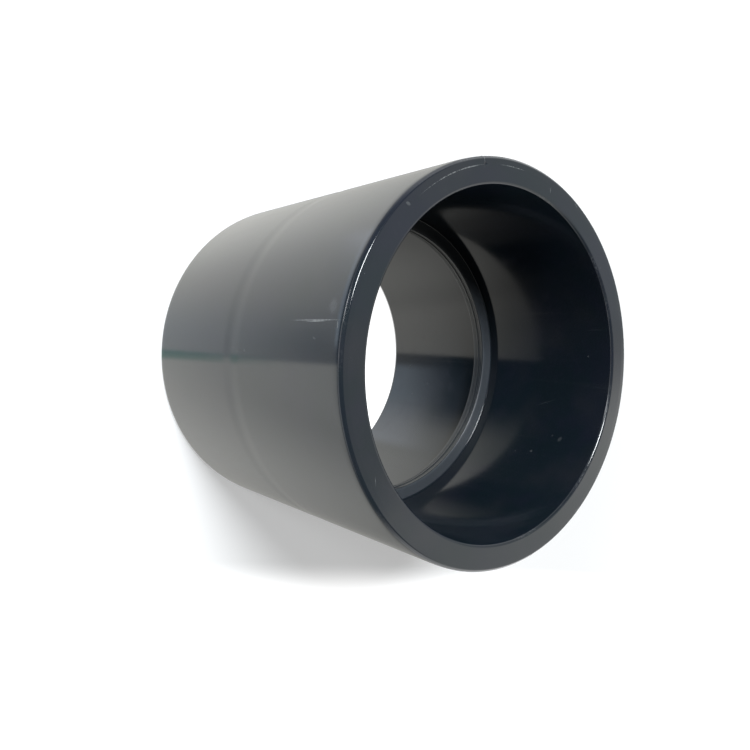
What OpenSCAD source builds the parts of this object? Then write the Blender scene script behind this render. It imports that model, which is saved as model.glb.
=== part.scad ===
// Plain coupling for 160 mm pressure pipe, injection moulded in one piece.
// It stands on one end: the origin is the middle of the lower end face, +Z runs up its axis.
// The mould's two halves met in the plane of X and Z, and its two cores met inside the stop ring.

/* [Pipe sockets] */
// Outside diameter of the pipe that is cemented into each socket
pipe_d = 160; // [90:5:250]
// Gap on the radius between the pipe and the socket wall, filled by the cement
cement_gap = 0.2; // [0.1:0.05:0.6]
// Depth of each socket, from the mouth to the shoulder of the stop ring
socket_depth = 86; // [45:1:140]

/* [Wall] */
// Thickness of the wall around the sockets
wall = 12.5; // [8:0.5:20]

/* [Stop ring] */
// Width of the stop ring along the axis
stop_width = 8; // [6:0.5:16]
// Height of the stop ring above the socket wall
stop_height = 7; // [4:0.2:10]
// Rounding of the two inner edges of the stop ring
stop_round = 1.6; // [0.5:0.1:2.2]
// Fillet in the corner between a socket wall and the shoulder
corner_fillet = 0.8; // [0.3:0.1:1.6]

/* [Edges] */
// Rounding of the outer edge of each end face
outer_round = 1.5; // [0.5:0.1:4]
// Rounding of the inner edge of each mouth
mouth_round = 1.5; // [0.3:0.1:3]

/* [Sink mark] */
// Length along the axis of the shallow hollow outside, opposite the stop ring
sink_length = 18; // [8:1:40]
// Depth of that hollow
sink_depth = 0.2; // [0.05:0.05:0.6]

/* [Mould marks] */
// Width of the raised line around the middle of the stop ring, where the cores met
core_line_w = 0.5; // [0.3:0.1:1]
// Height of that line above the bore of the stop ring
core_line_h = 0.2; // [0.1:0.05:0.4]
// Width of the raised line along each side, where the halves of the mould met
parting_line_w = 0.4; // [0.2:0.1:1]
// Height of that line above the outside
parting_line_h = 0.1; // [0.05:0.05:0.3]

/* [Trimming nick] */
// Width of the nick in the upper end face, left when the parting line was trimmed
nick_w = 2.4; // [1:0.2:4]
// Depth of the nick
nick_depth = 0.4; // [0.2:0.1:0.8]
// Distance of the nick from the outside
nick_inset = 4; // [3:0.5:5]

/* [Hidden] */
$fn = 180;
socket_r = pipe_d / 2 + cement_gap;
outer_r = socket_r + wall;
stop_r = socket_r - stop_height;
half_length = socket_depth + stop_width / 2;
length = 2 * half_length;
// How far a cutter runs past the face that it cuts
over = 1;

// Radius of the circle that cuts a hollow of a given width and depth.
function hollow_r(width, depth) = (pow(width / 2, 2) + pow(depth, 2)) / (2 * depth);

// What is cut off a square corner at the origin to leave it round.
// The corner's own material lies towards -X and -Y.
module corner_waste(r) {
    difference() {
        translate([-r, -r])
            square(r + over);
        translate([-r, -r])
            circle(r);
    }
}

// The web that fills a square inner corner at the origin, open towards +X and +Y.
module corner_web(r) {
    difference() {
        translate([-over, -over])
            square(r + over);
        translate([r, r])
            circle(r);
    }
}

// What is cut off the outside of the section: the rounded edge and the sink mark.
// A line that stands up from the outside keeps its height over both.
module outside_waste(height) {
    translate([outer_r + height, -height])
        mirror([0, 1])
            corner_waste(outer_round + height);
    translate([outer_r + height - sink_depth + hollow_r(sink_length, sink_depth), half_length])
        circle(hollow_r(sink_length, sink_depth), $fn = 2880);
}

// Section of the socket wall, from the end face to the middle of the coupling.
module wall_section() {
    difference() {
        translate([socket_r, 0])
            square([wall, half_length]);
        outside_waste(0);
        translate([socket_r, 0])
            rotate(180)
                corner_waste(mouth_round);
    }
}

// Section of half of the stop ring, with its fillet and its half of the core line.
module stop_section() {
    difference() {
        translate([stop_r, socket_depth])
            square([stop_height + over, stop_width / 2]);
        translate([stop_r, socket_depth])
            rotate(180)
                corner_waste(stop_round);
    }
    translate([socket_r, socket_depth])
        rotate(180)
            corner_web(corner_fillet);
    translate([stop_r - core_line_h, half_length - core_line_w / 2])
        square([core_line_h + over, core_line_w / 2]);
}

// Section of half of a parting line, from inside the wall to the line's own height.
module parting_section() {
    difference() {
        translate([outer_r - wall / 2, 0])
            square([wall / 2 + parting_line_h, half_length]);
        outside_waste(parting_line_h);
    }
}

// A section of the lower half, with its mirror image above it.
module both_halves() {
    children();
    translate([0, length])
        mirror([0, 1])
            children();
}

// The parting line along the side that faces +X.
module parting_line() {
    rotate([90, 0, 0])
        linear_extrude(parting_line_w, center = true)
            both_halves()
                parting_section();
}

// The shallow nick in the upper end face, on the parting line.
module trimming_nick() {
    r = hollow_r(nick_w, nick_depth);
    translate([nick_inset - outer_r, 0, length - nick_depth + r])
        sphere(r);
}

// The whole moulding.
module coupling_body() {
    color([0.16, 0.17, 0.19])
        difference() {
            union() {
                rotate_extrude()
                    both_halves() {
                        wall_section();
                        stop_section();
                    }
                parting_line();
                mirror([1, 0, 0])
                    parting_line();
            }
            trimming_nick();
        }
}

coupling_body();
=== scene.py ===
"""Looks of a plain pipe coupling: one dark moulded plastic piece, standing on end in a pale studio.

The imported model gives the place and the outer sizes. The coupling is modelled again here as a finely
turned shell with its rounded edges, stop ring, sink mark, mould lines and trimming nick.
"""

import logging
import math
from dataclasses import dataclass, field
from enum import Enum
from typing import Callable, Sequence, Union

import bmesh
import bpy
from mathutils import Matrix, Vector


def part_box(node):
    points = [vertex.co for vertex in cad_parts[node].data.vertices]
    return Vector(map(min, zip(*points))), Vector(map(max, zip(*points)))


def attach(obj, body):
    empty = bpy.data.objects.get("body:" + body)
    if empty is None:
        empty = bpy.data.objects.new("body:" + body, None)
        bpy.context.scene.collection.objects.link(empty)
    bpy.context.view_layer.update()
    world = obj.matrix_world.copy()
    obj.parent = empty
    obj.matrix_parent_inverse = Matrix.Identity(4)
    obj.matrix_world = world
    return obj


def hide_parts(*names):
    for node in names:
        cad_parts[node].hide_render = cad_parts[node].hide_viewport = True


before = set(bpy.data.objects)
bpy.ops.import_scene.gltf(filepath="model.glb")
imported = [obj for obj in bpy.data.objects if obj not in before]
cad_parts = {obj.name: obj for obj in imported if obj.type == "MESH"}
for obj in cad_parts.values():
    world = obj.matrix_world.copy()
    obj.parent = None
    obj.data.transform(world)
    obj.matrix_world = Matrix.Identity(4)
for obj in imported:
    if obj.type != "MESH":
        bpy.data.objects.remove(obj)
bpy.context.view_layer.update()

LOG = logging.getLogger("coupling_scene")
MM = 0.001
# How near two places count as one place, as one plane, and as one point to merge.
SAME_PLACE = 0.01 * MM
SAME_PLANE = 0.0001 * MM
SAME_POINT = 0.002 * MM
# Radius in millimetres at which turns about the axis are measured as lengths.
GIRTH_R = 90.0
BLACK = (0.0, 0.0, 0.0, 1.0)
WHITE = (1.0, 1.0, 1.0, 1.0)

Socket = bpy.types.NodeSocket
Tree = bpy.types.NodeTree
# What an input takes: another node's output, a number, or a vector or colour.
Feed = Union[Socket, float, Sequence[float]]
Colour = tuple[float, float, float]
# Where a smooth step starts and ends, and its two levels where they aren't 0 and 1.
Step = tuple[float, ...]


class Zone(Enum):
    """The surface that a handling mark lies on."""

    OUTSIDE = "outside"
    BORE = "bore"
    UPPER_FACE = "upper_face"


# ---------------------------------------------------------------- helpers for edit mode


def deselect_all() -> None:
    """Clears the selection, because operators act on all that is selected."""
    for item in bpy.context.selected_objects:
        item.select_set(False)
    bpy.context.view_layer.objects.active = None


def make_active(item: bpy.types.Object) -> None:
    """Selects one object only and makes it the active one.

    Args:
        item: The object that the next operators work on.
    """
    deselect_all()
    item.select_set(True)
    bpy.context.view_layer.objects.active = item


def select_parts(item: bpy.types.Object, mode: str, wanted: Callable[[Sequence[Vector]], bool]) -> None:
    """Selects vertices or edges in edit mode by the places of their corners.

    Args:
        item: The object in edit mode.
        mode: VERT or EDGE.
        wanted: Says from the corners' places whether the element is selected.
    """
    bpy.ops.mesh.select_mode(type=mode)
    bpy.ops.mesh.select_all(action="DESELECT")
    mesh = bmesh.from_edit_mesh(item.data)
    elements = {"VERT": mesh.verts, "EDGE": mesh.edges}[mode]
    for element in elements:
        corners = [element.co] if mode == "VERT" else [corner.co for corner in element.verts]
        if wanted(corners):
            element.select_set(True)
    mesh.select_flush_mode()
    bmesh.update_edit_mesh(item.data)


def apply_modifier(item: bpy.types.Object, kind: str, **settings: object) -> None:
    """Adds a modifier with its settings and applies it to the mesh.

    Args:
        item: The object that takes the modifier.
        kind: The modifier's type.
        **settings: The modifier's properties.
    """
    make_active(item)
    modifier = item.modifiers.new(kind.title(), kind)
    for name, value in settings.items():
        setattr(modifier, name, value)
    bpy.ops.object.modifier_apply(modifier=modifier.name)


# ---------------------------------------------------------------- helpers for shader nodes


@dataclass(frozen=True)
class Noise:
    """Settings of a Noise texture. The scale is per metre on plain object coordinates."""

    scale: float
    detail: float = 2.0
    roughness: float = 0.5


class NodeBench:
    """Places and wires nodes in one node tree."""

    COLUMNS = 12
    COLUMN_WIDTH = 180
    ROW_HEIGHT = -220

    def __init__(self, tree: Tree) -> None:
        """Takes the tree that the nodes go into.

        Args:
            tree: A material's, world's or group's node tree.
        """
        self.tree = tree
        self.count = 0

    @classmethod
    def emptied(cls, owner: bpy.types.ID) -> "NodeBench":
        """Turns on a material's or world's nodes and clears them.

        Args:
            owner: The material or world.

        Returns:
            A bench for its tree.
        """
        owner.use_nodes = True
        owner.node_tree.nodes.clear()
        return cls(owner.node_tree)

    def add(self, kind: str, **settings: object) -> bpy.types.Node:
        """Adds one node.

        Args:
            kind: The node's type name.
            **settings: Properties of the node.

        Returns:
            The new node.
        """
        node = self.tree.nodes.new(kind)
        row, column = divmod(self.count, self.COLUMNS)
        node.location = (self.COLUMN_WIDTH * column, self.ROW_HEIGHT * row)
        self.count += 1
        for name, value in settings.items():
            setattr(node, name, value)
        return node

    def link(self, source: Socket, target: Socket) -> None:
        """Joins an output to an input."""
        self.tree.links.new(source, target)

    def feed(self, target: Socket, value: Feed) -> None:
        """Links a socket, or sets the constant on the input itself.

        Args:
            target: The input.
            value: An output socket, a number or a tuple.
        """
        if isinstance(value, Socket):
            self.link(value, target)
        else:
            target.default_value = value

    def math(self, operation: str, *values: Feed, clamp: bool = False) -> Socket:
        """Adds a Math node.

        Args:
            operation: The node's operation.
            *values: Its inputs in order.
            clamp: Whether the result is kept from 0 to 1.

        Returns:
            The node's output.
        """
        node = self.add("ShaderNodeMath", operation=operation, use_clamp=clamp)
        for slot, value in zip(node.inputs, values):
            self.feed(slot, value)
        return node.outputs[0]

    def times(self, *factors: Feed) -> Socket:
        """Multiplies values.

        Args:
            *factors: Two or more values.

        Returns:
            Their product.
        """
        product = factors[0]
        for factor in factors[1:]:
            product = self.math("MULTIPLY", product, factor)
        return product

    def highest(self, *values: Feed) -> Socket:
        """Finds the highest of some values.

        Args:
            *values: Two or more values.

        Returns:
            The highest one.
        """
        top = values[0]
        for value in values[1:]:
            top = self.math("MAXIMUM", top, value)
        return top

    def hypotenuse(self, first: Feed, second: Feed) -> Socket:
        """Gives the long side of a right triangle from its two short ones."""
        return self.math("SQRT", self.math("MULTIPLY_ADD", first, first, self.times(second, second)))

    def ramp(self, value: Feed, low: float, high: float, start: float = 0.0, end: float = 1.0) -> Socket:
        """Maps a value smoothly from one range to another.

        Args:
            value: The input.
            low: Where the step starts.
            high: Where the step ends.
            start: The result at low and before it.
            end: The result at high and past it.

        Returns:
            The node's output.
        """
        if low > high:
            low, high, start, end = high, low, end, start
        node = self.add("ShaderNodeMapRange", interpolation_type="SMOOTHSTEP", clamp=True)
        self.feed(node.inputs["Value"], value)
        for name, number in (("From Min", low), ("From Max", high), ("To Min", start), ("To Max", end)):
            node.inputs[name].default_value = number
        return node.outputs["Result"]

    def mix(self, factor: Feed, first: Feed, second: Feed) -> Socket:
        """Mixes two colours.

        Args:
            factor: The share of the second colour.
            first: The colour at 0.
            second: The colour at 1.

        Returns:
            The mixed colour.
        """
        node = self.add("ShaderNodeMix", data_type="RGBA")
        colour_inputs = [slot for slot in node.inputs if slot.type == "RGBA"]
        for slot, value in zip((node.inputs[0], *colour_inputs), (factor, first, second)):
            self.feed(slot, value)
        return next(output for output in node.outputs if output.type == "RGBA")

    def noise(self, vector: Feed, kind: Noise) -> Socket:
        """Adds a Noise texture.

        Args:
            vector: Where it is read.
            kind: Its settings.

        Returns:
            The value from 0 to 1.
        """
        node = self.add("ShaderNodeTexNoise")
        self.feed(node.inputs["Vector"], vector)
        node.inputs["Scale"].default_value = kind.scale
        node.inputs["Detail"].default_value = kind.detail
        node.inputs["Roughness"].default_value = kind.roughness
        return node.outputs["Fac"]

    def call(self, group: Tree, **inputs: Feed) -> bpy.types.Node:
        """Adds an instance of a node group.

        Args:
            group: The group.
            **inputs: Values for its inputs, named in lower case.

        Returns:
            The group's node.
        """
        node = self.add("ShaderNodeGroup", node_tree=group)
        for name, value in inputs.items():
            self.feed(node.inputs[name.title()], value)
        return node

    def vector_math(self, operation: str, first: Feed, second: Feed) -> bpy.types.Node:
        """Adds a Vector Math node.

        Args:
            operation: The node's operation.
            first: Its first input.
            second: Its second input.

        Returns:
            The node.
        """
        node = self.add("ShaderNodeVectorMath", operation=operation)
        self.feed(node.inputs[0], first)
        self.feed(node.inputs[1], second)
        return node

    def scaled(self, vector: Feed, factors: Feed) -> Socket:
        """Stretches a vector along the axes, or tints a colour."""
        return self.vector_math("MULTIPLY", vector, factors).outputs[0]

    def dot(self, vector: Feed, axis: Sequence[float]) -> Socket:
        """Measures a vector along an axis."""
        return self.vector_math("DOT_PRODUCT", vector, axis).outputs["Value"]

    def combine(self, x: Feed, y: Feed, z: Feed) -> Socket:
        """Makes a vector of three values.

        Args:
            x: The first value.
            y: The second value.
            z: The third value.

        Returns:
            The vector.
        """
        node = self.add("ShaderNodeCombineXYZ")
        for slot, value in zip(node.inputs, (x, y, z)):
            self.feed(slot, value)
        return node.outputs[0]

    def split(self, vector: Feed) -> list[Socket]:
        """Takes a vector apart.

        Args:
            vector: The vector.

        Returns:
            Its three values.
        """
        node = self.add("ShaderNodeSeparateXYZ")
        self.feed(node.inputs[0], vector)
        return list(node.outputs)


def rgba(colour: Sequence[float], gain: float = 1.0) -> tuple[float, ...]:
    """Gives a colour, brighter or darker by the gain, as an opaque one with four values."""
    return (*(gain * part for part in colour), 1.0)


def new_group(
    name: str, inputs: dict[str, float | None], numbers: Sequence[str], vectors: Sequence[str] = (),
) -> tuple[Tree, NodeBench, bpy.types.Node, bpy.types.Node]:
    """Starts a shader node group with named sockets.

    Args:
        name: The group's name.
        inputs: The inputs' names, with the number that each starts from, or None for a vector.
        numbers: The names of the outputs that are numbers.
        vectors: The names of the outputs that are vectors.

    Returns:
        The group, its bench, and its input and output nodes.
    """
    group = bpy.data.node_groups.new(name, "ShaderNodeTree")
    for label, start in inputs.items():
        kind = "NodeSocketVector" if start is None else "NodeSocketFloat"
        socket = group.interface.new_socket(label, in_out="INPUT", socket_type=kind)
        if start is not None:
            socket.default_value = start
    for kind, labels in (("NodeSocketFloat", numbers), ("NodeSocketVector", vectors)):
        for label in labels:
            group.interface.new_socket(label, in_out="OUTPUT", socket_type=kind)
    bench = NodeBench(group)
    return group, bench, bench.add("NodeGroupInput"), bench.add("NodeGroupOutput")


# ---------------------------------------------------------------- node groups


def ring_coordinates() -> Tree:
    """Builds the group that says where on the coupling a point lies, in millimetres.

    The girth is measured from -X, where the trimming nick is, so the seam lies at +X.

    Returns:
        The group, with the radius, the height and a flat vector for the walls and for the end faces.
    """
    group, bench, given, result = new_group(
        "ring_coordinates", {"Position": None}, ("Radius", "Height"), ("Wall", "Face"),
    )
    axes = bench.split(given.outputs["Position"])
    x, y, height = (bench.times(axis, sign / MM) for axis, sign in zip(axes, (-1.0, -1.0, 1.0)))
    radius = bench.hypotenuse(x, y)
    girth = bench.times(bench.math("ARCTAN2", y, x), GIRTH_R)
    bench.link(radius, result.inputs["Radius"])
    bench.link(height, result.inputs["Height"])
    bench.link(bench.combine(girth, height, 0.0), result.inputs["Wall"])
    bench.link(bench.combine(girth, radius, 0.0), result.inputs["Face"])
    return group


def handling_mark() -> Tree:
    """Builds the group for one long or round mark with frayed edges.

    Returns:
        The group, with the mark's mask.
    """
    inputs = {"Place": None, "Centre": None, "Slant": 0.0, "Length": 1.0, "Width": 1.0, "Fray": 0.5}
    group, bench, given, result = new_group("handling_mark", inputs, ("Mask",))
    shift = bench.vector_math("SUBTRACT", given.outputs["Place"], given.outputs["Centre"]).outputs[0]
    turned = bench.add("ShaderNodeVectorRotate", rotation_type="Z_AXIS")
    bench.link(shift, turned.inputs["Vector"])
    bench.link(bench.times(given.outputs["Slant"], -1.0), turned.inputs["Angle"])
    x, y, _ = bench.split(turned.outputs[0])
    along = bench.math("DIVIDE", bench.times(x, 2.0), given.outputs["Length"])
    across = bench.math("DIVIDE", bench.times(y, 2.0), given.outputs["Width"])
    inside = bench.ramp(bench.hypotenuse(along, across), 1.0, 0.35)
    gaps = bench.ramp(bench.noise(given.outputs["Place"], Noise(0.9, 3.0, 0.6)), 0.56, 0.42)
    kept = bench.math("SUBTRACT", 1.0, bench.times(gaps, given.outputs["Fray"]))
    bench.link(bench.times(inside, kept), result.inputs["Mask"])
    return group


def fleck_field() -> Tree:
    """Builds the group for scattered small flecks, such as dust and pits.

    Returns:
        The group, with the flecks' mask.
    """
    least_size, soft_share = 0.3, 0.5
    inputs = {"Position": None, "Density": 120.0, "Size": 0.04, "Share": 0.4}
    group, bench, given, result = new_group("fleck_field", inputs, ("Mask",))
    cells = bench.add("ShaderNodeTexVoronoi")
    bench.link(given.outputs["Position"], cells.inputs["Vector"])
    bench.link(given.outputs["Density"], cells.inputs["Scale"])
    chance = bench.add("ShaderNodeSeparateColor")
    bench.link(cells.outputs["Color"], chance.inputs[0])
    size = bench.times(given.outputs["Size"], bench.math("ADD", chance.outputs[1], least_size))
    inside = bench.math("SUBTRACT", size, cells.outputs["Distance"])
    near = bench.math("DIVIDE", inside, bench.times(size, soft_share), clamp=True)
    kept = bench.math("LESS_THAN", chance.outputs[0], given.outputs["Share"])
    bench.link(bench.times(near, kept), result.inputs["Mask"])
    return group


def hairlines() -> Tree:
    """Builds the group for fine lines that run along one axis of a stretched position.

    Returns:
        The group, with the lines' mask.
    """
    steepness = 9.0
    inputs = {"Position": None, "Scale": 300.0, "Start": 0.62}
    group, bench, given, result = new_group("hairlines", inputs, ("Mask",))
    texture = bench.add("ShaderNodeTexNoise")
    bench.link(given.outputs["Position"], texture.inputs["Vector"])
    bench.link(given.outputs["Scale"], texture.inputs["Scale"])
    texture.inputs["Detail"].default_value = 3.0
    texture.inputs["Roughness"].default_value = 0.65
    over = bench.math("SUBTRACT", texture.outputs["Fac"], given.outputs["Start"])
    bench.link(bench.math("MULTIPLY", over, steepness, clamp=True), result.inputs["Mask"])
    return group


def edge_wear() -> Tree:
    """Builds the group for broken wear along a round edge where a wall meets an end face.

    Returns:
        The group, with the wear's mask.
    """
    steepness = 2.2
    inputs = {"Position": None, "Radius": 0.0, "Height": 0.0, "Edge": 92.7, "Length": 180.0, "Reach": 1.4}
    group, bench, given, result = new_group("edge_wear", inputs, ("Mask",))
    half = bench.times(given.outputs["Length"], 0.5)
    off_middle = bench.math("ABSOLUTE", bench.math("SUBTRACT", given.outputs["Height"], half))
    end = bench.math("SUBTRACT", half, off_middle)
    side = bench.math("SUBTRACT", given.outputs["Radius"], given.outputs["Edge"])
    away = bench.hypotenuse(side, end)
    close = bench.math("SUBTRACT", 1.0, bench.math("DIVIDE", away, given.outputs["Reach"]), clamp=True)
    patches = bench.ramp(bench.noise(given.outputs["Position"], Noise(34.0, 2.0, 0.5)), 0.50, 0.68)
    grit = bench.ramp(bench.noise(given.outputs["Position"], Noise(900.0, 3.0, 0.7)), 0.42, 0.66)
    worn = bench.times(patches, grit, bench.math("MULTIPLY", close, steepness, clamp=True))
    bench.link(worn, result.inputs["Mask"])
    return group


# ---------------------------------------------------------------- the coupling


@dataclass
class CouplingShell:
    """The whole moulding, turned from its cut section.

    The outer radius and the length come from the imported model. The other sizes are the source's own,
    but for those that the photograph's highlights ask for: the chamfer and the roll of the outer edges,
    the fall of the end faces, the sink mark's depth and the turned lines.
    """

    node: str = "coupling_body"
    socket_r: float = 80.2 * MM
    socket_depth: float = 86.0 * MM
    stop_r: float = 73.2 * MM
    stop_round: float = 1.6 * MM
    corner_fillet: float = 0.8 * MM
    mouth_round: float = 1.5 * MM
    round_segments: int = 8
    fillet_segments: int = 6
    # The outer edges: the source's rounding, which the parting lines follow, and their finer form.
    outer_round: float = 1.5 * MM
    edge_chamfer: float = 1.1 * MM
    edge_soft: float = 0.35 * MM
    edge_segments: int = 4
    roll_reach: float = 5.4 * MM
    roll_depth: float = 0.3 * MM
    roll_cuts: tuple[float, ...] = (2.0 * MM, 2.8 * MM, 3.8 * MM)
    face_fall: float = 0.1 * MM
    crown_half_w: float = 0.15 * MM
    sink_length: float = 18.0 * MM
    sink_depth: float = 0.13 * MM
    sink_steps: int = 16
    core_line_w: float = 0.5 * MM
    core_line_h: float = 0.2 * MM
    turned_lines: tuple[float, ...] = (-1.75 * MM, -0.95 * MM, 0.95 * MM, 1.75 * MM)
    turned_line_w: float = 0.28 * MM
    turned_line_h: float = 0.08 * MM
    parting_line_w: float = 0.4 * MM
    parting_line_h: float = 0.1 * MM
    nick_w: float = 2.4 * MM
    nick_depth: float = 0.4 * MM
    nick_inset: float = 4.0 * MM
    nick_facets: int = 48
    turns: int = 600
    flat_angle: float = math.radians(35.0)
    outer_r: float = field(init=False)
    length: float = field(init=False)

    def __post_init__(self) -> None:
        """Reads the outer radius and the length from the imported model."""
        low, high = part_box(self.node)
        self.outer_r = (high.y - low.y) / 2
        self.length = high.z - low.z

    def build(self) -> bpy.types.Object:
        """Models the shell and puts it in the frame.

        Returns:
            The finished object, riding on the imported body.
        """
        shell = self.cut_section()
        self.turn(shell)
        self.raise_parting_lines(shell)
        self.cut_nick(shell)
        self.smooth(shell)
        shell.name = "coupling_shell"
        shell.data.name = "coupling_shell"
        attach(shell, "root")
        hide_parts(self.node)
        LOG.info("coupling shell: %d faces", len(shell.data.polygons))
        return shell

    def cut_section(self) -> bpy.types.Object:
        """Models the wall's cut section as an outline that stands in the plane of X and Z.

        Returns:
            The outline's object.
        """
        middle = self.length / 2
        shoulders = (self.socket_depth, self.length - self.socket_depth)
        crown = self.outer_r - self.nick_inset
        core_line = (middle - self.core_line_w / 2, middle + self.core_line_w / 2)
        turned_lines = [
            (middle + line - self.turned_line_w / 2, middle + line + self.turned_line_w / 2)
            for line in self.turned_lines
        ]
        section = self.draw_wall()
        self.cut_levels({*shoulders, *core_line, *(level for line in turned_lines for level in line)})
        for radius in (crown - self.crown_half_w, crown + self.crown_half_w):
            self.slice_all((radius, 0.0, 0.0), (1.0, 0.0, 0.0))
        self.extrude_inwards(section, self.socket_r, shoulders, self.socket_r - self.stop_r)
        self.extrude_inwards(section, self.stop_r, core_line, self.core_line_h)
        for line in turned_lines:
            self.extrude_inwards(section, self.stop_r, line, self.turned_line_h)
        self.press_sink_mark(section, middle)
        self.soften_ends(section, crown)
        bpy.ops.mesh.select_mode(type="FACE")
        bpy.ops.mesh.select_all(action="SELECT")
        bpy.ops.mesh.dissolve_faces(use_verts=False)
        self.round_all_corners(section, shoulders)
        bpy.ops.mesh.select_all(action="SELECT")
        bpy.ops.mesh.delete(type="ONLY_FACE")
        bpy.ops.object.mode_set(mode="OBJECT")
        return section

    def draw_wall(self) -> bpy.types.Object:
        """Draws the plain wall of the section and opens it in edit mode.

        Returns:
            The wall's object.
        """
        wall = self.outer_r - self.socket_r
        place = (self.socket_r + wall / 2, 0.0, self.length / 2)
        deselect_all()
        bpy.ops.mesh.primitive_plane_add(size=1.0, location=place, rotation=(math.pi / 2, 0.0, 0.0))
        section = bpy.context.object
        section.scale = (wall, self.length, 1.0)
        bpy.ops.object.transform_apply(location=True, rotation=True, scale=True)
        bpy.ops.object.mode_set(mode="EDIT")
        return section

    def cut_levels(self, levels: set[float]) -> None:
        """Cuts the section across at some levels, at the sink mark's steps and where the ends roll in.

        Args:
            levels: The levels of the stop ring's own edges.
        """
        start = self.length / 2 - self.sink_length / 2
        levels |= {start + self.sink_length * step / self.sink_steps for step in range(self.sink_steps + 1)}
        for away in (*self.roll_cuts, self.roll_reach):
            levels |= {away, self.length - away}
        for level in sorted(levels):
            self.slice_all((0.0, 0.0, level), (0.0, 0.0, 1.0))

    @staticmethod
    def slice_all(place: Sequence[float], square_to: Sequence[float]) -> None:
        """Cuts all of the mesh in edit mode along a plane."""
        bpy.ops.mesh.select_all(action="SELECT")
        bpy.ops.mesh.bisect(plane_co=place, plane_no=square_to)

    def extrude_inwards(
        self, section: bpy.types.Object, radius: float, levels: Sequence[float], height: float,
    ) -> None:
        """Extrudes the section's edges between two levels towards the axis.

        Args:
            section: The section in edit mode.
            radius: Where the edges stand.
            levels: The lower and the upper level.
            height: How far they go.
        """
        low, high = levels

        def wanted(corners: Sequence[Vector]) -> bool:
            """Says whether an edge stands at the radius and between the levels."""
            return all(
                abs(corner.x - radius) < SAME_PLACE and low - SAME_PLACE < corner.z < high + SAME_PLACE
                for corner in corners
            )

        select_parts(section, "EDGE", wanted)
        bpy.ops.mesh.extrude_region_move(TRANSFORM_OT_translate={"value": (-height, 0.0, 0.0)})

    def press_sink_mark(self, section: bpy.types.Object, middle: float) -> None:
        """Presses the outside in a little, opposite the stop ring.

        Args:
            section: The section in edit mode.
            middle: The level of the mark's middle.
        """
        mesh = bmesh.from_edit_mesh(section.data)
        for vertex in mesh.verts:
            away = abs(vertex.co.z - middle) / (self.sink_length / 2)
            if abs(vertex.co.x - self.outer_r) < SAME_PLACE and away < 1.0:
                vertex.co.x -= self.sink_depth * (1.0 + math.cos(math.pi * away)) / 2
        bmesh.update_edit_mesh(section.data)

    def soften_ends(self, section: bpy.types.Object, crown: float) -> None:
        """Lets the outside roll in a little towards each end, and the end faces fall off outside the crown.

        Args:
            section: The section in edit mode.
            crown: The radius outside which the end faces fall.
        """
        mesh = bmesh.from_edit_mesh(section.data)
        for vertex in mesh.verts:
            place = vertex.co
            away = min(place.z, self.length - place.z)
            fall = 0.0
            if away < SAME_PLACE and place.x > crown:
                fall = self.face_fall * (place.x - crown) / (self.outer_r - crown)
            if abs(place.x - self.outer_r) < SAME_PLACE and away < self.roll_reach:
                place.x -= self.roll_depth * (1.0 - away / self.roll_reach) ** 2
            place.z += math.copysign(fall, self.length / 2 - place.z)
        bmesh.update_edit_mesh(section.data)

    def round_all_corners(self, section: bpy.types.Object, shoulders: Sequence[float]) -> None:
        """Rounds the section's corners, from the outer edges to the fillets beside the stop ring.

        Args:
            section: The section in edit mode.
            shoulders: The levels of the stop ring's two faces.
        """
        falls = (self.face_fall, self.length - self.face_fall)
        self.round_corners(section, self.outer_r - self.roll_depth, falls, self.edge_chamfer, 1)
        self.bevel_corners(self.edge_soft, self.edge_segments)
        self.round_corners(section, self.socket_r, (0.0, self.length), self.mouth_round, self.round_segments)
        self.round_corners(section, self.stop_r, shoulders, self.stop_round, self.round_segments)
        self.round_corners(section, self.socket_r, shoulders, self.corner_fillet, self.fillet_segments)

    def round_corners(
        self, section: bpy.types.Object, radius: float, levels: Sequence[float], size: float, segments: int,
    ) -> None:
        """Rounds the section's corners that stand at a radius and one of some levels.

        Args:
            section: The section in edit mode.
            radius: The corners' distance from the axis.
            levels: The corners' levels.
            size: The rounding's radius.
            segments: How many facets it has.
        """

        def wanted(corners: Sequence[Vector]) -> bool:
            """Says whether a corner stands at the radius and at one of the levels."""
            x, _, z = corners[0]
            return abs(x - radius) < SAME_PLACE and min(abs(z - level) for level in levels) < SAME_PLACE

        select_parts(section, "VERT", wanted)
        self.bevel_corners(size, segments)

    @staticmethod
    def bevel_corners(size: float, segments: int) -> None:
        """Bevels the selected corners of the mesh in edit mode."""
        bpy.ops.mesh.bevel(
            offset=size, offset_type="OFFSET", segments=segments, profile=0.5, affect="VERTICES",
        )

    def turn(self, shell: bpy.types.Object) -> None:
        """Turns the outline about the axis and closes the skin.

        Args:
            shell: The outline's object.
        """
        apply_modifier(
            shell, "SCREW", axis="Z", angle=2 * math.pi, steps=self.turns, render_steps=self.turns,
            use_merge_vertices=True, merge_threshold=SAME_POINT,
        )
        bpy.ops.object.mode_set(mode="EDIT")
        bpy.ops.mesh.select_mode(type="VERT")
        bpy.ops.mesh.select_all(action="SELECT")
        bpy.ops.mesh.remove_doubles(threshold=SAME_POINT)
        bpy.ops.mesh.normals_make_consistent(inside=False)
        bpy.ops.object.mode_set(mode="OBJECT")

    def raise_parting_lines(self, shell: bpy.types.Object) -> None:
        """Raises a thin ridge along each side, where the halves of the mould met.

        Args:
            shell: The turned shell.
        """
        make_active(shell)
        bpy.ops.object.mode_set(mode="EDIT")
        inner = self.outer_r - self.outer_round - SAME_PLACE

        def on_line(corners: Sequence[Vector]) -> bool:
            """Says whether an edge runs along one of the two lines."""
            return all(abs(corner.y) < SAME_PLANE and abs(corner.x) > inner for corner in corners)

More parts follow.
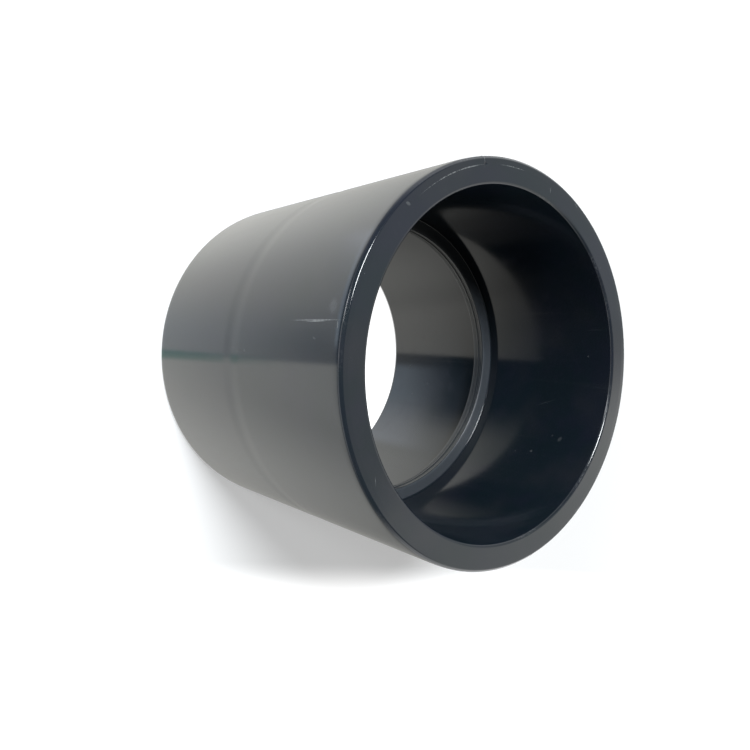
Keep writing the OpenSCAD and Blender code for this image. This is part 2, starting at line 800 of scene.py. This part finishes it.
        select_parts(shell, "EDGE", on_line)
        width = self.parting_line_w / 2
        bpy.ops.mesh.bevel(offset=width, offset_type="OFFSET", segments=2, profile=0.5, affect="EDGES")
        mesh = bmesh.from_edit_mesh(shell.data)
        for vertex in mesh.verts:
            place = vertex.co
            if abs(place.y) < SAME_PLANE and abs(place.x) > inner + 2 * SAME_PLACE:
                raised = place + self.outward(place) * self.parting_line_h
                vertex.co = (raised.x, raised.y, min(max(raised.z, 0.0), self.length))
        bmesh.update_edit_mesh(shell.data)
        bpy.ops.object.mode_set(mode="OBJECT")

    def outward(self, place: Vector) -> Vector:
        """Gives the direction square to the outside at a place on a parting line.

        Args:
            place: A point of the outside in the plane of X and Z.

        Returns:
            The unit vector.
        """
        side = math.copysign(1.0, place.x)
        level = min(max(place.z, self.outer_round), self.length - self.outer_round)
        centre = Vector((side * (self.outer_r - self.outer_round), 0.0, level))
        return (place - centre).normalized()

    def cut_nick(self, shell: bpy.types.Object) -> None:
        """Cuts the shallow nick that trimming left in the upper end face.

        Args:
            shell: The turned shell.
        """
        radius = ((self.nick_w / 2) ** 2 + self.nick_depth**2) / (2 * self.nick_depth)
        place = (self.nick_inset - self.outer_r, 0.0, self.length - self.nick_depth + radius)
        deselect_all()
        bpy.ops.mesh.primitive_uv_sphere_add(
            segments=self.nick_facets, ring_count=self.nick_facets // 2, radius=radius, location=place,
        )
        cutter = bpy.context.object
        bpy.ops.object.transform_apply(location=True, rotation=True, scale=True)
        apply_modifier(shell, "BOOLEAN", operation="DIFFERENCE", solver="EXACT", object=cutter)
        bpy.data.objects.remove(cutter)

    def smooth(self, shell: bpy.types.Object) -> None:
        """Shades the shell smooth, with its flat faces kept flat.

        Args:
            shell: The finished mesh.
        """
        make_active(shell)
        bpy.ops.object.shade_smooth_by_angle(angle=self.flat_angle)
        apply_modifier(shell, "WEIGHTED_NORMAL", mode="FACE_AREA", weight=100, keep_sharp=True)


# ---------------------------------------------------------------- finishes


@dataclass(frozen=True)
class Mark:
    """One mark left by handling, with its sizes in millimetres and its angles in degrees.

    The turn is the angle about the axis from -X. The reach is the height on a wall and the distance
    from the axis on an end face.
    """

    zone: Zone
    turn: float
    reach: float
    length: float
    width: float
    slant: float = 0.0
    strength: float = 0.4
    fray: float = 0.5


HANDLING_MARKS: tuple[Mark, ...] = (
    Mark(Zone.UPPER_FACE, 12.5, 88.45, 50.0, 0.50, -1.1, 0.95, 0.95),
    Mark(Zone.UPPER_FACE, 6.5, 88.6, 15.0, 0.62, -0.6, 1.0, 0.55),
    Mark(Zone.UPPER_FACE, 0.0, 91.0, 3.8, 0.40, 90.0, 0.55),
    Mark(Zone.UPPER_FACE, -11.5, 88.6, 19.0, 0.55, 0.8, 0.75, 0.85),
    Mark(Zone.UPPER_FACE, -29.5, 86.2, 4.2, 0.40, 82.0, 0.55),
    Mark(Zone.UPPER_FACE, -42.5, 90.0, 3.6, 0.50, 12.0, 0.50),
    Mark(Zone.UPPER_FACE, -127.0, 90.5, 6.0, 0.50, 0.0, 0.60, 0.7),
    Mark(Zone.UPPER_FACE, -141.0, 90.4, 11.0, 0.45, 0.5, 0.60, 0.9),
    Mark(Zone.UPPER_FACE, -156.0, 90.5, 7.0, 0.50, 0.0, 0.60, 0.8),
    Mark(Zone.UPPER_FACE, 31.5, 88.9, 3.0, 1.8, 60.0, 0.32, 0.3),
    Mark(Zone.UPPER_FACE, 108.0, 86.8, 5.0, 0.42, 24.0, 0.40),
    Mark(Zone.OUTSIDE, 66.6, 160.5, 41.0, 0.75, 90.0, 0.95, 0.6),
    Mark(Zone.OUTSIDE, 66.9, 161.0, 18.0, 0.60, 90.6, 1.0, 0.25),
    Mark(Zone.OUTSIDE, 67.8, 176.2, 4.0, 0.60, 8.0, 0.80, 0.2),
    Mark(Zone.OUTSIDE, 63.2, 170.9, 8.0, 6.5, 30.0, 0.14, 0.3),
    Mark(Zone.OUTSIDE, 71.0, 161.5, 2.8, 0.6, 70.0, 0.45),
    Mark(Zone.OUTSIDE, 75.0, 104.0, 1.4, 0.8, 40.0, 0.45),
    Mark(Zone.OUTSIDE, 75.3, 97.5, 1.1, 0.8, 0.0, 0.40),
    Mark(Zone.OUTSIDE, 74.4, 92.0, 1.3, 0.7, 120.0, 0.40),
    Mark(Zone.OUTSIDE, -48.0, 120.0, 32.0, 0.50, 62.0, 0.50, 0.8),
    Mark(Zone.OUTSIDE, -96.0, 46.0, 21.0, 0.55, 104.0, 0.55, 0.7),
    Mark(Zone.OUTSIDE, -151.0, 132.0, 26.0, 0.50, 18.0, 0.50, 0.8),
    Mark(Zone.OUTSIDE, 152.0, 72.0, 18.0, 0.55, 77.0, 0.50, 0.7),
    Mark(Zone.OUTSIDE, 118.0, 28.0, 7.5, 5.0, 20.0, 0.16, 0.5),
    Mark(Zone.BORE, -140.6, 142.0, 2.2, 1.8, 60.0, 0.40),
    Mark(Zone.BORE, -133.6, 156.8, 4.2, 3.0, 20.0, 0.20, 0.3),
    Mark(Zone.BORE, -132.6, 151.2, 1.6, 1.2, 0.0, 0.28),
    Mark(Zone.BORE, -99.8, 165.2, 1.3, 1.1, 0.0, 0.45),
    Mark(Zone.BORE, -119.3, 140.5, 15.0, 0.40, 67.0, 0.20, 0.6),
    Mark(Zone.BORE, -89.5, 170.5, 14.0, 0.32, 88.0, 0.20, 0.6),
    Mark(Zone.BORE, -108.5, 17.8, 3.0, 2.2, 30.0, 0.35),
    Mark(Zone.BORE, -131.5, 15.0, 3.0, 1.0, 75.0, 0.45),
    Mark(Zone.BORE, -122.5, 25.2, 2.0, 1.4, 0.0, 0.40),
    Mark(Zone.BORE, -116.5, 38.2, 1.6, 1.2, 45.0, 0.40),
    Mark(Zone.BORE, -150.5, 41.9, 2.6, 0.9, 110.0, 0.40),
    Mark(Zone.BORE, 44.0, 128.0, 17.0, 0.40, 80.0, 0.35, 0.8),
)


@dataclass(frozen=True)
class SkinMasks:
    """What the plastic's colour, gloss and relief are worked out from, each from 0 to 1."""

    cloud: Socket
    mottle: Socket
    grain: Socket
    drag: Socket
    crossed: Socket
    turned: Socket
    stop_face: Socket
    light: Socket


@dataclass(frozen=True)
class MouldedPlastic:
    """Dark grey pressure-pipe plastic with a glossy moulded skin and light handling marks.

    The shares say how far a mask turns the colour to that of scuffed plastic, the rough gains how much
    roughness it adds, and the depths how high it stands in millimetres.
    """

    teal: Colour = (0.0062, 0.0116, 0.0162)
    violet: Colour = (0.0084, 0.0116, 0.0194)
    pale: Colour = (0.0135, 0.0165, 0.0215)
    stop: Colour = (0.036, 0.042, 0.050)
    stop_gains: tuple[float, float] = (0.80, 1.18)
    worn: Colour = (0.17, 0.18, 0.185)
    roughness: float = 0.105
    roughness_spread: tuple[float, float] = (-0.012, 0.022)
    refraction: float = 1.5
    cloud: Noise = Noise(22.0, 3.0, 0.55)
    mottle: Noise = Noise(130.0, 4.0, 0.6)
    pallor: Noise = Noise(36.0, 2.0, 0.5)
    grain: Noise = Noise(1700.0, 3.0, 0.65)
    waves: Noise = Noise(38.0, 1.0, 0.4)
    peel: Noise = Noise(520.0, 2.0, 0.5)
    mottle_hue: float = 0.6
    hue_step: Step = (0.30, 0.70)
    pallor_step: Step = (0.45, 0.85)
    grain_step: Step = (0.30, 0.70)
    cloud_step: Step = (0.3, 0.7)
    mottle_step: Step = (0.50, 0.75)
    wear_share: float = 0.30
    fleck_share: float = 0.28
    dust_share: float = 0.07
    drag_share: float = 0.022
    turned_share: float = 0.24
    mottle_rough: float = 0.030
    drag_rough: float = 0.035
    crossed_rough: float = 0.050
    light_rough: float = 0.45
    stop_rough: float = 0.35
    wave_depth: float = 0.018
    peel_depth: float = 0.0022
    drag_depth: float = 0.003
    turned_depth: float = 0.030
    grain_depth: float = 0.030
    # Reach of the wear on the outer and on the inner edges of the end faces.
    outer_wear: float = 1.5
    inner_wear: float = 1.2
    # Where the stop ring's faces and its bore lie, from mid-length and from the axis.
    stop_face_levels: Step = (3.4, 3.9)
    stop_face_radii: Step = (79.9, 79.4)
    stop_bore_levels: Step = (3.6, 3.0)
    stop_bore_radii: Step = (75.0, 74.0)
    # Where the marks of each zone may lie, from the axis and below the upper end face.
    outside_radii: Step = (91.6, 92.0)
    bore_radii: Step = (81.6, 81.2)
    upper_face_depths: Step = (1.2, 0.8)

    def material(self, shape: CouplingShell) -> bpy.types.Material:
        """Builds the material.

        Args:
            shape: The coupling, for the places of its edges.

        Returns:
            The material.
        """
        made = bpy.data.materials.new("moulded_pvc")
        bench = NodeBench.emptied(made)
        position = bench.add("ShaderNodeTexCoord").outputs["Object"]
        masks = self.masks(bench, position, shape)
        shader = bench.add("ShaderNodeBsdfPrincipled")
        bench.link(self.colour(bench, position, masks), shader.inputs["Base Color"])
        bench.link(self.gloss(bench, masks), shader.inputs["Roughness"])
        bench.link(self.relief(bench, position, masks), shader.inputs["Normal"])
        shader.inputs["IOR"].default_value = self.refraction
        output = bench.add("ShaderNodeOutputMaterial")
        bench.link(shader.outputs[0], output.inputs["Surface"])
        return made

    def masks(self, bench: NodeBench, position: Socket, shape: CouplingShell) -> SkinMasks:
        """Lays out the skin: the stop ring's parts, clouds, grain, fine lines, dust, wear and marks.

        Args:
            bench: The material's bench.
            position: The object coordinates.
            shape: The coupling, for the places of its edges.

        Returns:
            The masks.
        """
        ring = bench.call(ring_coordinates(), position=position)
        height, radius = ring.outputs["Height"], ring.outputs["Radius"]
        off_middle = bench.math("ABSOLUTE", bench.math("SUBTRACT", height, shape.length / MM / 2))
        stop_face = bench.times(
            bench.ramp(off_middle, *self.stop_face_levels), bench.ramp(radius, *self.stop_face_radii),
        )
        stop_bore = bench.times(
            bench.ramp(off_middle, *self.stop_bore_levels), bench.ramp(radius, *self.stop_bore_radii),
        )
        cloud = bench.noise(position, self.cloud)
        lines, specks = hairlines(), fleck_field()
        lengthwise = bench.scaled(position, (1.0, 1.0, 0.02))
        drag = bench.call(lines, position=lengthwise, scale=420.0, start=0.60).outputs[0]
        around = bench.combine(height, radius, 0.0)
        turned = bench.times(bench.call(lines, position=around, scale=1.9, start=0.50).outputs[0], stop_bore)
        sideways = bench.scaled(position, (0.05, 1.0, 0.6))
        crossed = bench.call(lines, position=sideways, scale=260.0, start=0.66).outputs[0]
        flecks = bench.call(specks, position=position, density=115.0, size=0.034, share=0.45).outputs[0]
        dust = bench.call(specks, position=position, density=420.0, size=0.055, share=0.5).outputs[0]
        light = bench.highest(
            self.marks(bench, ring, shape),
            bench.times(self.wear(bench, position, ring, shape), self.wear_share),
            bench.times(flecks, self.fleck_share),
            bench.times(dust, self.dust_share),
            bench.times(drag, cloud, self.drag_share),
            bench.times(turned, self.turned_share),
        )
        return SkinMasks(
            cloud=cloud, mottle=bench.noise(position, self.mottle), grain=bench.noise(position, self.grain),
            drag=drag, crossed=crossed, turned=turned, stop_face=stop_face, light=light,
        )

    def wear(
        self, bench: NodeBench, position: Socket, ring: bpy.types.Node, shape: CouplingShell,
    ) -> Socket:
        """Wears the outer and inner edges of both end faces.

        Args:
            bench: The material's bench.
            position: The object coordinates.
            ring: The node of the ring coordinates.
            shape: The coupling, for the edges' sizes.

        Returns:
            The mask.
        """
        group = edge_wear()
        where = {"position": position, "radius": ring.outputs["Radius"], "height": ring.outputs["Height"]}
        edges = ((shape.outer_r / MM, self.outer_wear), (shape.socket_r / MM, self.inner_wear))
        worn = [
            bench.call(group, **where, edge=edge, length=shape.length / MM, reach=reach).outputs[0]
            for edge, reach in edges
        ]
        return bench.highest(*worn)

    def marks(self, bench: NodeBench, ring: bpy.types.Node, shape: CouplingShell) -> Socket:
        """Lays all handling marks on their surfaces.

        Each mark goes into the mask straight after its node, because very many marks that wait to be
        compared at once leave the render black.

        Args:
            bench: The material's bench.
            ring: The node of the ring coordinates.
            shape: The coupling, for its length.

        Returns:
            The marks' mask, at their strengths.
        """
        group = handling_mark()
        wall, face, radius = (ring.outputs[name] for name in ("Wall", "Face", "Radius"))
        levels = (shape.length / MM - depth for depth in self.upper_face_depths)
        zones = {
            Zone.OUTSIDE: (wall, bench.ramp(radius, *self.outside_radii)),
            Zone.BORE: (wall, bench.ramp(radius, *self.bore_radii)),
            Zone.UPPER_FACE: (face, bench.ramp(ring.outputs["Height"], *levels)),
        }
        total = 0.0
        for zone, (place, area) in zones.items():
            found = 0.0
            for mark in (mark for mark in HANDLING_MARKS if mark.zone is zone):
                centre = (math.radians(mark.turn) * GIRTH_R, mark.reach, 0.0)
                mask = bench.call(
                    group, place=place, centre=centre, slant=math.radians(mark.slant),
                    length=mark.length, width=mark.width, fray=mark.fray,
                ).outputs[0]
                found = bench.highest(bench.times(mask, mark.strength), found)
            total = bench.highest(bench.times(found, area), total)
        return total

    def colour(self, bench: NodeBench, position: Socket, masks: SkinMasks) -> Socket:
        """Mixes the base colour, with the duller faces of the stop ring and all that is scuffed.

        Args:
            bench: The material's bench.
            position: The object coordinates.
            masks: The skin's masks.

        Returns:
            The colour.
        """
        off_grey = bench.math("SUBTRACT", masks.mottle, 0.5)
        blend = bench.math("MULTIPLY_ADD", off_grey, self.mottle_hue, masks.cloud, clamp=True)
        base = bench.mix(bench.ramp(blend, *self.hue_step), rgba(self.teal), rgba(self.violet))
        pallor = bench.ramp(bench.noise(position, self.pallor), *self.pallor_step)
        base = bench.mix(pallor, base, rgba(self.pale))
        dark, bright = (rgba(self.stop, gain) for gain in self.stop_gains)
        stop = bench.mix(bench.ramp(masks.grain, *self.grain_step), dark, bright)
        base = bench.mix(masks.stop_face, base, stop)
        return bench.mix(masks.light, base, rgba(self.worn))

    def gloss(self, bench: NodeBench, masks: SkinMasks) -> Socket:
        """Adds up the roughness.

        Args:
            bench: The material's bench.
            masks: The skin's masks.

        Returns:
            The roughness.
        """
        low, high = (self.roughness + change for change in self.roughness_spread)
        rough = bench.ramp(masks.cloud, *self.cloud_step, low, high)
        gains = (
            (bench.ramp(masks.mottle, *self.mottle_step), self.mottle_rough), (masks.drag, self.drag_rough),
            (masks.crossed, self.crossed_rough), (masks.light, self.light_rough),
            (masks.stop_face, self.stop_rough),
        )
        for mask, gain in gains:
            rough = bench.math("MULTIPLY_ADD", mask, gain, rough)
        return rough

    def relief(self, bench: NodeBench, position: Socket, masks: SkinMasks) -> Socket:
        """Gives the skin its fine relief: slight waves, a fine peel, drag lines, turned lines and grain.

        Args:
            bench: The material's bench.
            position: The object coordinates.
            masks: The skin's masks.

        Returns:
            The normal.
        """
        height = bench.times(bench.noise(position, self.waves), self.wave_depth)
        layers = (
            (bench.noise(position, self.peel), self.peel_depth), (masks.drag, self.drag_depth),
            (masks.turned, self.turned_depth), (bench.times(masks.grain, masks.stop_face), self.grain_depth),
        )
        for layer, depth in layers:
            height = bench.math("MULTIPLY_ADD", layer, depth, height)
        bump = bench.add("ShaderNodeBump")
        bump.inputs["Strength"].default_value = 1.0
        bump.inputs["Distance"].default_value = MM
        bench.link(height, bump.inputs["Height"])
        return bump.outputs["Normal"]


# ---------------------------------------------------------------- the studio


@dataclass
class StudioFloor:
    """A plain pale floor that whitens out in front and far away, as the photograph's ground does.

    The coupling's gloss shows the surround in its place. What the camera alone sees of it glows white
    inside the bore, past the front's fade and past the far fade.
    """

    half_width: float = 6.0
    albedo: float = 0.62
    roughness: float = 0.9
    lift: float = 0.34
    bore_glow: float = 1.15
    bore_glow_edge: Step = (79.9 * MM, 80.9 * MM)
    front: tuple[float, float, float] = (0.912, -0.410, 0.0)
    front_fade: Step = (134.5 * MM, 162.0 * MM)
    far_fade: Step = (0.30, 0.90)

    def build(self) -> bpy.types.Object:
        """Lays the floor under the coupling.

        Returns:
            The floor.
        """
        deselect_all()
        bpy.ops.mesh.primitive_plane_add(size=2 * self.half_width, location=(0.0, 0.0, 0.0))
        floor = bpy.context.object
        floor.name = "studio_floor"
        floor.data.materials.append(self.material())
        floor.visible_glossy = False
        return floor

    def material(self) -> bpy.types.Material:
        """Builds the floor's matt white.

        Returns:
            The material.
        """
        made = bpy.data.materials.new("floor_white")
        bench = NodeBench.emptied(made)
        place = bench.add("ShaderNodeTexCoord").outputs["Object"]
        x, y, _ = bench.split(place)
        distance = bench.hypotenuse(x, y)
        glow = bench.ramp(distance, *self.bore_glow_edge, self.bore_glow, self.lift)
        fade = bench.ramp(bench.dot(place, self.front), *self.front_fade)
        fade = bench.highest(fade, bench.ramp(distance, *self.far_fade))
        glow = bench.math("MULTIPLY_ADD", fade, 1.0 - self.lift, glow)
        paths = bench.add("ShaderNodeLightPath")
        shader = bench.add("ShaderNodeBsdfPrincipled")
        shader.inputs["Base Color"].default_value = rgba((self.albedo, self.albedo, self.albedo))
        shader.inputs["Roughness"].default_value = self.roughness
        shader.inputs["Specular IOR Level"].default_value = 0.0
        shader.inputs["Emission Color"].default_value = WHITE
        seen = bench.mix(paths.outputs["Is Camera Ray"], rgba((self.lift, self.lift, self.lift)), glow)
        bench.link(seen, shader.inputs["Emission Strength"])
        output = bench.add("ShaderNodeOutputMaterial")
        bench.link(shader.outputs[0], output.inputs["Surface"])
        return made


@dataclass(frozen=True)
class Bearing:
    """How far the direction looked in points up, left and back in the surround, each from -1 to 1."""

    high: Socket
    left: Socket
    back: Socket


@dataclass(frozen=True)
class Table:
    """The surround's table: warm pale grey behind, dark in front but for a bright strip at the right."""

    behind: Step = (-0.15, 0.25)
    far_light: Step = (-0.50, 0.32, 0.38, 1.24)
    far_left_gain: Step = (0.40, 0.54, 1.0, 1.25)
    near_light: Step = (-0.56, -0.36, 0.76, 0.22)
    strip_slope: float = -0.85
    strip_level: float = -0.794
    strip_edge: Step = (-0.06, 0.05)
    strip_end: Step = (-0.50, -0.25, 1.0, 0.0)
    strip_light: Step = (-0.34, -0.12, 1.32, 1.72)
    tint: Colour = (1.0, 1.0, 0.95)

    def colour(self, bench: NodeBench, look: Bearing) -> Socket:
        """Gives the table's colour.

        Args:
            bench: The world's bench.
            look: The direction looked in.

        Returns:
            The colour.
        """
        far = bench.ramp(look.left, *self.far_light)
        far = bench.times(far, bench.ramp(look.left, *self.far_left_gain))
        line = bench.math("MULTIPLY_ADD", look.left, self.strip_slope, self.strip_level)
        below = bench.math("SUBTRACT", line, look.high)
        strip = bench.times(bench.ramp(below, *self.strip_edge), bench.ramp(look.left, *self.strip_end))
        dim = bench.ramp(look.left, *self.near_light)
        near = bench.mix(strip, dim, bench.ramp(look.high, *self.strip_light))
        return bench.scaled(bench.mix(bench.ramp(look.back, *self.behind), near, far), self.tint)


@dataclass(frozen=True)
class Backdrop:
    """The surround's backdrop: pale and brighter higher up, dusky low down, with a dark patch at the side."""

    behind: Step = (-0.30, 0.35)
    far_light: Step = (0.0, 0.75, 0.98, 1.62)
    right_fade: Step = (-0.65, 0.05, 0.52, 1.0)
    near_light: Step = (-0.56, -0.36, 0.78, 0.26)
    dusk_back: Step = (0.91, 0.82)
    dusk_high: Step = (0.36, 0.10)
    dusk_loss: float = -0.34
    low_tint: Colour = (0.965, 1.0, 1.02)
    high_tint: Colour = (1.0, 1.0, 0.945)
    tint_change: Step = (0.10, 0.40)
    patch_colour: Colour = (0.05, 0.11, 0.17)
    patch_back: Step = (0.775, 0.71)
    patch_high: Step = (0.74, 0.46)
    patch_left: Step = (0.18, 0.45)
    patch_behind: Step = (-0.15, 0.25)

    def colour(self, bench: NodeBench, look: Bearing) -> Socket:
        """Gives the backdrop's colour.

        Args:
            bench: The world's bench.
            look: The direction looked in.

        Returns:
            The colour.
        """
        far = bench.times(bench.ramp(look.high, *self.far_light), bench.ramp(look.left, *self.right_fade))
        dusk = bench.times(bench.ramp(look.back, *self.dusk_back), bench.ramp(look.high, *self.dusk_high))
        far = bench.times(far, bench.math("MULTIPLY_ADD", dusk, self.dusk_loss, 1.0))
        near = bench.ramp(look.left, *self.near_light)
        level = bench.mix(bench.ramp(look.back, *self.behind), near, far)
        tint = bench.mix(bench.ramp(look.high, *self.tint_change), rgba(self.low_tint), rgba(self.high_tint))
        patch = bench.times(
            bench.ramp(look.back, *self.patch_back), bench.ramp(look.high, *self.patch_high),
            bench.ramp(look.left, *self.patch_left), bench.ramp(look.back, *self.patch_behind),
        )
        return bench.mix(patch, bench.scaled(level, tint), rgba(self.patch_colour))


@dataclass
class Surround:
    """What the coupling's gloss shows: a pale table, a paler backdrop and the dark line between them.

    The coupling was shot lying down, so the surround's own up lies close to -X of the frame. The camera
    sees plain white in its place, and matt surfaces get less of its light.
    """

    up: tuple[float, float, float] = (-0.9756, 0.2163, -0.0380)
    left: tuple[float, float, float] = (-0.2164, -0.9763, 0.0)
    back: tuple[float, float, float] = (0.0, 0.0, -1.0)
    horizon: Step = (-0.012, 0.012)
    seam_below: Step = (-0.035, -0.012)
    seam_above: Step = (0.035, 0.012)
    seam_share: Step = (0.86, 0.94, 0.0, 0.58)
    seam_colour: Colour = (0.10, 0.50, 0.40)
    # The dark that the walls of the sockets show of one another.
    inside_end: Step = (0.61, 0.77, 0.88, 0.0)
    inside_start: Step = (-0.05, 0.35)
    inside_left: Step = (-0.50, -0.20, 0.25, 1.0)
    # The light that comes in through the far mouth.
    opening_start: Step = (0.728, 0.768)
    opening_end: Step = (0.815, 0.790)
    opening_left: Step = (0.02, 0.15)
    opening_high: Step = (0.08, 0.16)
    opening_rise: Step = (0.35, 0.66)
    opening_low: Colour = (1.35, 1.58, 1.82)
    opening_top: Colour = (2.10, 2.18, 2.28)
    # The belt of side light, with the bearings and strengths of its panels.
    belt_start: Step = (-0.42, -0.25)
    belt_end: Step = (0.56, 0.46)
    side_level: float = 0.55
    panels: tuple[tuple[float, float], ...] = ((20.0, 1.3), (140.0, 0.8), (262.0, 1.0))
    panel_edge: Step = (0.60, 0.93)
    matt_light: float = 0.3
    camera_white: float = 1.05

    def build(self) -> bpy.types.World:
        """Builds the world.

        Returns:
            The world.
        """
        world = bpy.data.worlds.new("surround")
        bpy.context.scene.world = world
        bench = NodeBench.emptied(world)
        ray = bench.add("ShaderNodeTexCoord").outputs["Generated"]
        look = Bearing(*(bench.dot(ray, axis) for axis in (self.up, self.left, self.back)))
        seen = self.open_side(bench, look)
        seen = self.socket_side(bench, look, seen)
        belt = bench.times(bench.ramp(look.back, *self.belt_start), bench.ramp(look.back, *self.belt_end))
        seen = bench.mix(belt, seen, self.side_light(bench, ray))
        paths = bench.add("ShaderNodeLightPath")
        loss = self.matt_light - 1.0
        strength = bench.math("MULTIPLY_ADD", paths.outputs["Is Diffuse Ray"], loss, 1.0)
        pick = bench.add("ShaderNodeMixShader")
        bench.link(paths.outputs["Is Camera Ray"], pick.inputs[0])
        for slot, colour, level in ((1, seen, strength), (2, WHITE, self.camera_white)):
            background = bench.add("ShaderNodeBackground")
            bench.feed(background.inputs["Color"], colour)
            bench.feed(background.inputs["Strength"], level)
            bench.link(background.outputs[0], pick.inputs[slot])
        output = bench.add("ShaderNodeOutputWorld")
        bench.link(pick.outputs[0], output.inputs["Surface"])
        return world

    def open_side(self, bench: NodeBench, look: Bearing) -> Socket:
        """Gives the table, the backdrop and the line where they meet.

        Args:
            bench: The world's bench.
            look: The direction looked in.

        Returns:
            The colour.
        """
        table, backdrop = Table().colour(bench, look), Backdrop().colour(bench, look)
        room = bench.mix(bench.ramp(look.high, *self.horizon), table, backdrop)
        seam = bench.times(
            bench.ramp(look.high, *self.seam_below), bench.ramp(look.high, *self.seam_above),
            bench.ramp(look.back, *self.seam_share),
        )
        return bench.mix(seam, room, rgba(self.seam_colour))

    def socket_side(self, bench: NodeBench, look: Bearing, seen: Socket) -> Socket:
        """Lays the dark of the sockets and the light of the far mouth over the rest.

        Args:
            bench: The world's bench.
            look: The direction looked in.
            seen: The colour of the rest.

        Returns:
            The colour.
        """
        inside = bench.times(
            bench.ramp(look.back, *self.inside_end), bench.ramp(look.back, *self.inside_start),
            bench.ramp(look.left, *self.inside_left),
        )
        seen = bench.mix(inside, seen, BLACK)
        opening = bench.times(
            bench.ramp(look.back, *self.opening_start), bench.ramp(look.back, *self.opening_end),
            bench.ramp(look.left, *self.opening_left), bench.ramp(look.high, *self.opening_high),
        )
        rise = bench.ramp(look.high, *self.opening_rise)
        bright = bench.mix(rise, rgba(self.opening_low), rgba(self.opening_top))
        return bench.mix(opening, seen, bright)

    def side_light(self, bench: NodeBench, ray: Socket) -> Socket:
        """Gives the light all round at the coupling's level, from soft panels that stand about it.

        Args:
            bench: The world's bench.
            ray: The direction looked in.

        Returns:
            The level.
        """
        level = self.side_level
        for azimuth, strength in self.panels:
            angle = math.radians(azimuth)
            facing = bench.dot(ray, (math.cos(angle), math.sin(angle), 0.0))
            level = bench.math("ADD", bench.ramp(facing, *self.panel_edge, 0.0, strength), level)
        return level


@dataclass
class SoftLamp:
    """A round soft lamp that points at the coupling."""

    name: str
    towards: tuple[float, float, float]
    size: float
    watts: float
    distance: float = 1.1
    colour: Colour = (0.94, 0.975, 1.0)
    target: tuple[float, float, float] = (0.0, 0.0, 0.09)

    def build(self) -> bpy.types.Object:
        """Hangs the lamp.

        Returns:
            The lamp's object.
        """
        lamp = bpy.data.lights.new(self.name, "AREA")
        lamp.shape = "DISK"
        lamp.size = self.size
        lamp.energy = self.watts
        lamp.color = self.colour
        hung = bpy.data.objects.new(self.name, lamp)
        bpy.context.scene.collection.objects.link(hung)
        away = Vector(self.towards).normalized()
        hung.location = Vector(self.target) + away * self.distance
        hung.rotation_euler = away.to_track_quat("Z", "Y").to_euler()
        hung.visible_camera = False
        LOG.info("%s hung", self.name)
        return hung


@dataclass
class Viewpoint:
    """The camera, where the photograph was taken from, rolled so that the picture matches.

    The place is in metres, the turn in degrees, and the lens and the sensor in millimetres.
    """

    place: tuple[float, float, float] = (-0.06160919, -0.22617594, 0.38579417)
    turn: tuple[float, float, float] = (-2.7946587, -38.8132346, 79.2524905)
    lens: float = 32.751936
    sensor: float = 36.0
    shift: tuple[float, float] = (-0.0222213, -0.0223280)
    nearest: float = 0.01

    def build(self) -> bpy.types.Object:
        """Sets up the camera.

        Returns:
            The camera's object.
        """
        optics = bpy.data.cameras.new("photo_camera")
        optics.lens = self.lens
        optics.sensor_width = self.sensor
        optics.shift_x, optics.shift_y = self.shift
        optics.clip_start = self.nearest
        camera = bpy.data.objects.new("photo_camera", optics)
        camera.location = self.place
        camera.rotation_euler = [math.radians(angle) for angle in self.turn]
        bpy.context.scene.collection.objects.link(camera)
        bpy.context.scene.camera = camera
        return camera


def main() -> None:
    """Builds the coupling and its studio in order."""
    logging.basicConfig(level=logging.INFO, format="%(name)s: %(message)s")
    bpy.context.scene.view_settings.view_transform = "Standard"
    Viewpoint().build()
    LOG.info("camera set")
    shape = CouplingShell()
    shell = shape.build()
    shell.data.materials.clear()
    shell.data.materials.append(MouldedPlastic().material(shape))
    LOG.info("plastic dressed")
    StudioFloor().build()
    LOG.info("floor laid")
    Surround().build()
    LOG.info("surround built")
    SoftLamp("key_lamp", towards=(-0.5054, -0.1593, 0.8480), size=0.80, watts=76.0, distance=2.4).build()
    SoftLamp("edge_lamp", towards=(-0.5436, -0.7010, 0.458), size=0.25, watts=2.6).build()


if __name__ == "__main__":
    main()
